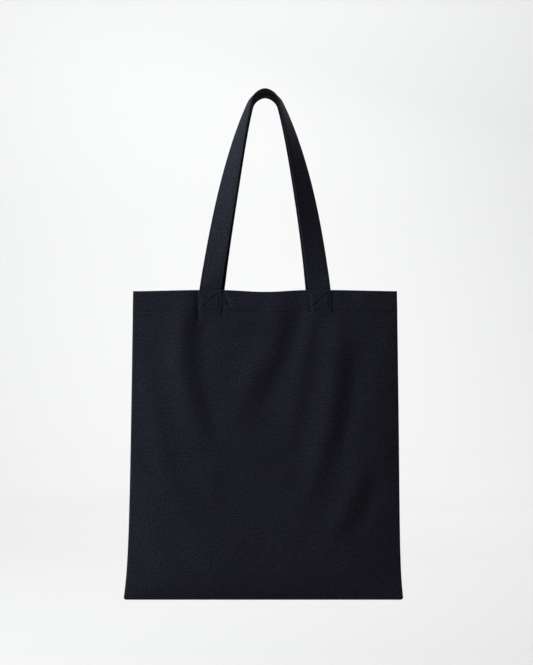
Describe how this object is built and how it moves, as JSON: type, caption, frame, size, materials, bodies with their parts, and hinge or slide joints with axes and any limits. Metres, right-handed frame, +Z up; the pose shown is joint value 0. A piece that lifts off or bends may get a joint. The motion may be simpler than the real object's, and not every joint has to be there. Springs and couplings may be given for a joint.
{
  "type": "canvas tote bag",
  "caption": "Flat canvas tote bag with two long shoulder handles of sewn tape, hanging empty; its handles fold down and its mouth opens.",
  "frame": {"origin": "the point where the two handle loops rest on a round peg, midway between them", "axes": "+Z up, +X to the right as seen from the front, the front face looks along -Y; the peg runs along Y"},
  "size_m": [0.38, 0.065, 0.688],
  "materials": {
    "canvas": "matte plain-weave cotton canvas, navy black",
    "handle_tape": "matte folded canvas tape, navy black",
    "thread": "tone-on-tone polyester sewing thread, low sheen"
  },
  "bodies": {
    "bag_back": {"back_panel": "canvas", "back_hem_facing": "canvas", "back_hem_stitching": "thread", "left_side_seam": "canvas", "right_side_seam": "canvas", "bottom_seam": "canvas", "back_handle_left_end": "handle_tape", "back_handle_right_end": "handle_tape", "back_left_box_stitch": "thread", "back_right_box_stitch": "thread"},
    "bag_front": {"front_panel": "canvas", "front_hem_facing": "canvas", "front_hem_stitching": "thread", "front_handle_left_end": "handle_tape", "front_handle_right_end": "handle_tape", "front_left_box_stitch": "thread", "front_right_box_stitch": "thread"},
    "front_handle": {"front_handle_loop": "handle_tape"},
    "back_handle": {"back_handle_loop": "handle_tape"}
  },
  "joints": [
    {"name": "mouth_opening", "type": "hinge", "parent": "bag_back", "child": "bag_front", "pos_m": [0, 0, -0.686], "axis": [1, 0, 0], "range_deg": [0, 6], "stiffness_Nm_per_rad": 0.4, "springref_deg": -5.73},
    {"name": "front_handle_fold", "type": "hinge", "parent": "bag_front", "child": "front_handle", "pos_m": [0, -0.0115, -0.265], "axis": [1, 0, 0], "range_deg": [0, 170]},
    {"name": "back_handle_fold", "type": "hinge", "parent": "bag_back", "child": "back_handle", "pos_m": [0, 0.0107, -0.265], "axis": [-1, 0, 0], "range_deg": [0, 170]}
  ]
}
